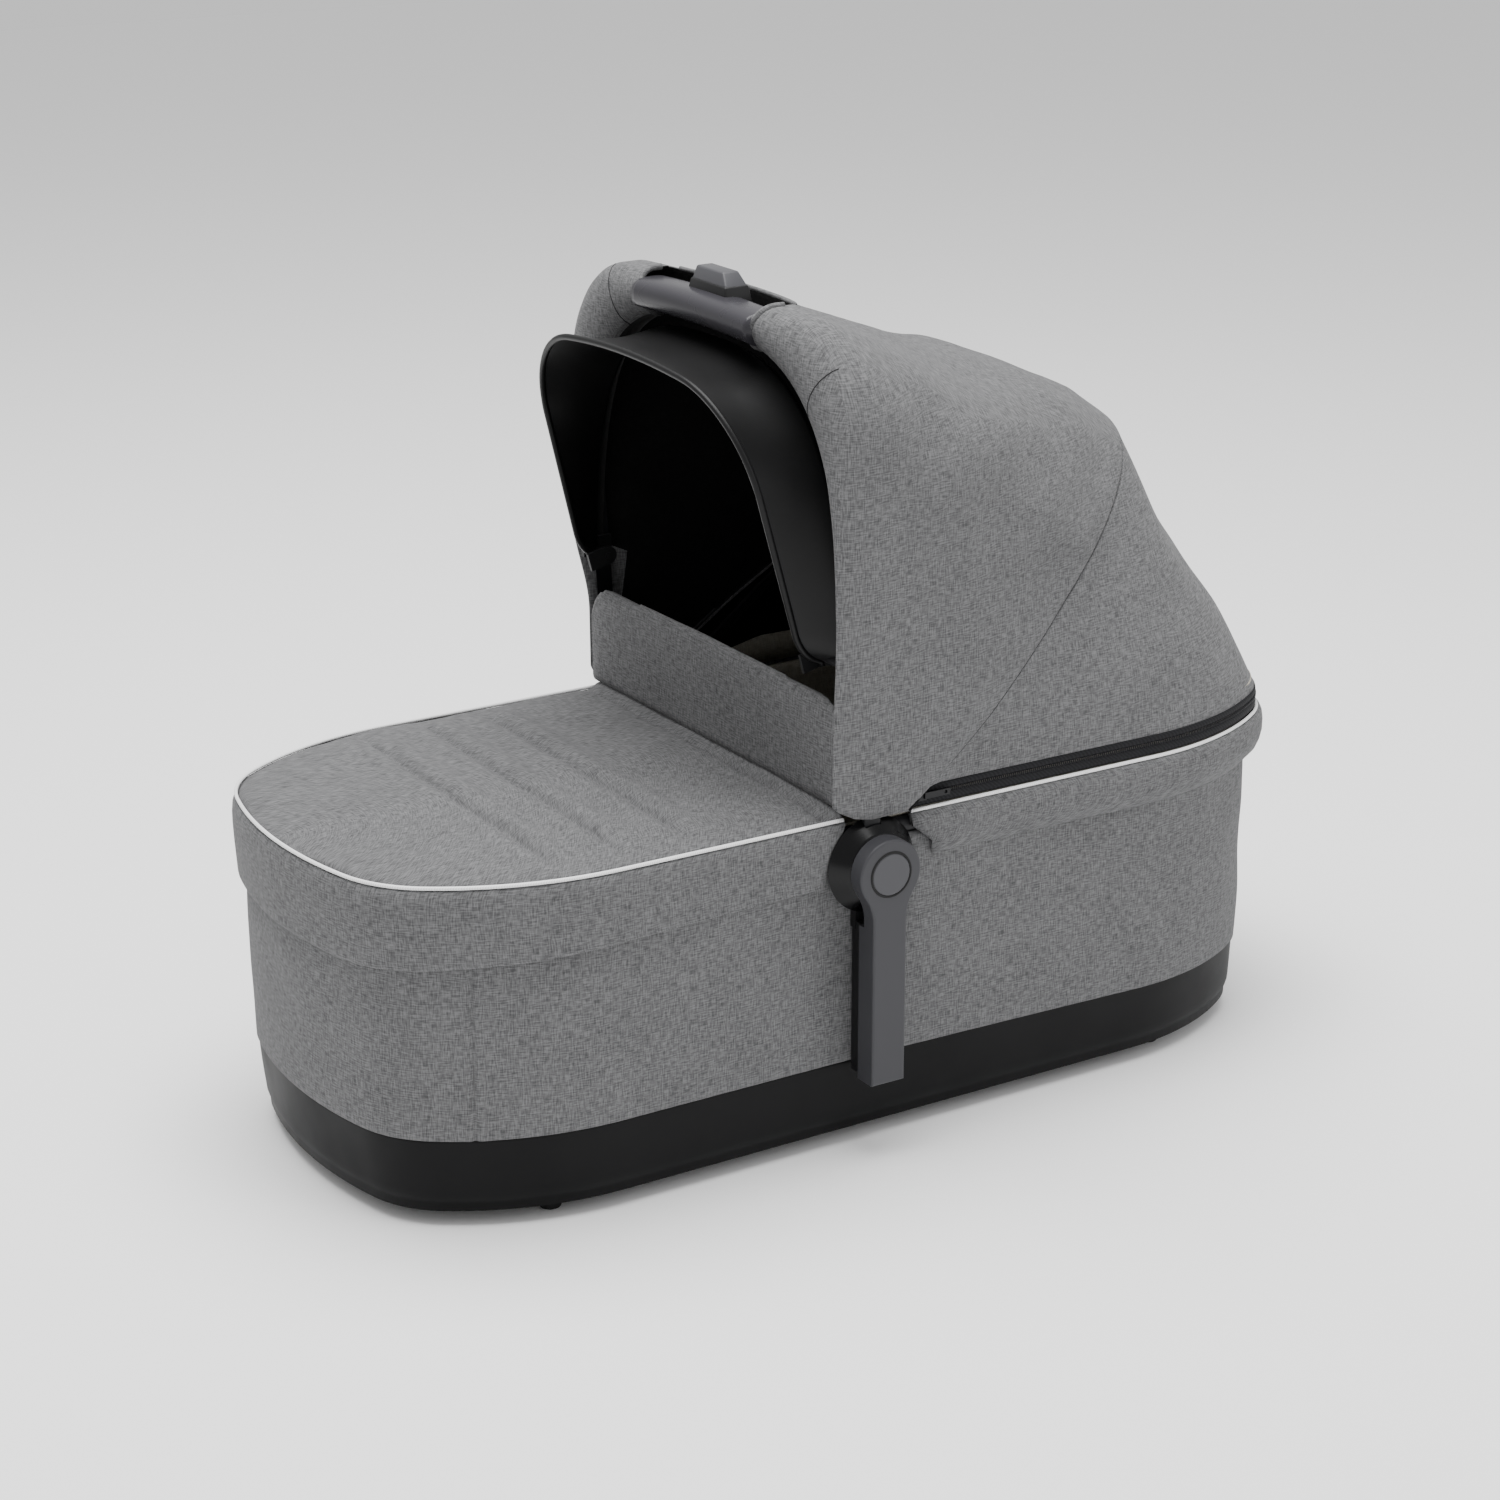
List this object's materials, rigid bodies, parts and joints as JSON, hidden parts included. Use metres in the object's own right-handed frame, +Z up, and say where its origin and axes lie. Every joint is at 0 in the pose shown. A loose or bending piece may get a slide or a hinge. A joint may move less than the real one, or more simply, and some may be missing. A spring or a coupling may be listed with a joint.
{
  "type": "carrycot",
  "caption": "Pram carrycot with a folding fabric hood, carry handle on the front bow, zipped apron with wind flap, moulded base tray and side mounting arms.",
  "frame": {"origin": "on the floor under the middle of the bounding box", "axes": "+X towards the head end under the hood, +Y to the left, +Z up"},
  "size_m": [0.8519, 0.4412, 0.652],
  "materials": {
    "moulded_base": "satin",
    "stiffener_board": "matte",
    "rubber": "matte",
    "steel": "satin",
    "grey_fabric": "matte",
    "lining": "matte",
    "foam": "matte",
    "aluminium_tube": "satin",
    "black_plastic": "satin",
    "gloss_black_plastic": "gloss",
    "grey_plastic": "satin",
    "button_plastic": "satin",
    "black_fabric": "satin",
    "zip_black": "satin",
    "zip_metal": "satin",
    "reflective_piping": "satin"
  },
  "bodies": {
    "tub": {"apron_piping": "reflective_piping", "apron_skirt": "grey_fabric", "apron_top": "grey_fabric", "arm_rail_left": "black_plastic", "arm_rail_right": "black_plastic", "arm_screws_left": "steel", "arm_screws_right": "steel", "arm_shell_left": "grey_plastic", "arm_shell_right": "grey_plastic", "base_board": "stiffener_board", "base_tray": "moulded_base", "foot_screws": "steel", "foot_stiffener": "stiffener_board", "head_piping": "reflective_piping", "head_rim_band": "grey_fabric", "head_stiffener": "stiffener_board", "hood_axle_left": "steel", "hood_axle_right": "steel", "hood_rear_panel": "grey_fabric", "inner_liner": "lining", "mattress_cover": "lining", "mattress_foam": "foam", "outer_fabric_wall": "grey_fabric", "release_spring_left": "steel", "release_spring_right": "steel", "rim_joiner_left": "black_plastic", "rim_joiner_right": "black_plastic", "rim_tube_foot": "aluminium_tube", "rim_tube_head": "aluminium_tube", "rubber_feet": "rubber", "side_stiffener_left": "stiffener_board", "side_stiffener_right": "stiffener_board", "zip_chain": "zip_black", "zip_tape_lower": "zip_black", "zip_tape_upper": "zip_black"},
    "front_bow": {"front_bow": "aluminium_tube", "bow_hub_left": "gloss_black_plastic", "bow_hub_right": "gloss_black_plastic", "hood_sleeve_left": "grey_fabric", "hood_sleeve_right": "grey_fabric", "hood_front_panel": "grey_fabric", "handle_grip_upper": "grey_plastic", "handle_grip_lower": "grey_plastic", "handle_spring": "steel", "visor_bracket_left": "black_plastic", "visor_bracket_right": "black_plastic"},
    "mid_bow": {"mid_bow": "steel"},
    "visor": {"visor_wire": "steel", "visor_pivot_left": "black_plastic", "visor_pivot_right": "black_plastic", "visor_fabric": "black_fabric"},
    "wind_flap": {"wind_flap": "grey_fabric"},
    "handle_button": {"handle_button": "button_plastic"},
    "release_button_left": {"release_button_left": "button_plastic"},
    "release_button_right": {"release_button_right": "button_plastic"},
    "zip_slider_left": {"zip_slider_left": "zip_metal"},
    "zip_slider_right": {"zip_slider_right": "zip_metal"}
  },
  "joints": [
    {"name": "mid_bow_fold", "type": "hinge", "parent": "tub", "child": "mid_bow", "pos_m": [-0.026, 0, 0.234], "axis": [0, 1, 0], "range_deg": [0, 25], "deforming": ["hood_rear_panel"]},
    {"name": "front_bow_fold", "type": "hinge", "parent": "mid_bow", "child": "front_bow", "pos_m": [-0.026, 0, 0.234], "axis": [0, 1, 0], "range_deg": [0, 45], "deforming": ["hood_front_panel"]},
    {"name": "visor_flip", "type": "hinge", "parent": "front_bow", "child": "visor", "pos_m": [-0.05, 0, 0.392], "axis": [0, 1, 0], "range_deg": [0, 28], "deforming": ["visor_fabric"]},
    {"name": "wind_flap_fold", "type": "hinge", "parent": "tub", "child": "wind_flap", "pos_m": [-0.0522, 0, 0.2762], "axis": [0, -1, 0], "range_deg": [0, 85]},
    {"name": "handle_button_press", "type": "slide", "parent": "front_bow", "child": "handle_button", "axis": [0, 0, -1], "range_m": [0, 0.004], "stiffness_N_per_m": 800, "springref_m": -0.001, "deforming": ["handle_spring"]},
    {"name": "release_button_left_press", "type": "slide", "parent": "tub", "child": "release_button_left", "axis": [0, -1, 0], "range_m": [0, 0.003], "stiffness_N_per_m": 800, "springref_m": -0.001, "deforming": ["release_spring_left"]},
    {"name": "zip_slider_left_run", "type": "slide", "parent": "tub", "child": "zip_slider_left", "axis": [1, 0, 0], "range_m": [0, 0.19]},
    {"name": "release_button_right_press", "type": "slide", "parent": "tub", "child": "release_button_right", "axis": [0, 1, 0], "range_m": [0, 0.003], "stiffness_N_per_m": 800, "springref_m": -0.001, "deforming": ["release_spring_right"]},
    {"name": "zip_slider_right_run", "type": "slide", "parent": "tub", "child": "zip_slider_right", "axis": [1, 0, 0], "range_m": [0, 0.19]}
  ],
  "couplings": [
    {"joint": "mid_bow_fold", "follows": "front_bow_fold", "ratio": 0.5555}
  ]
}
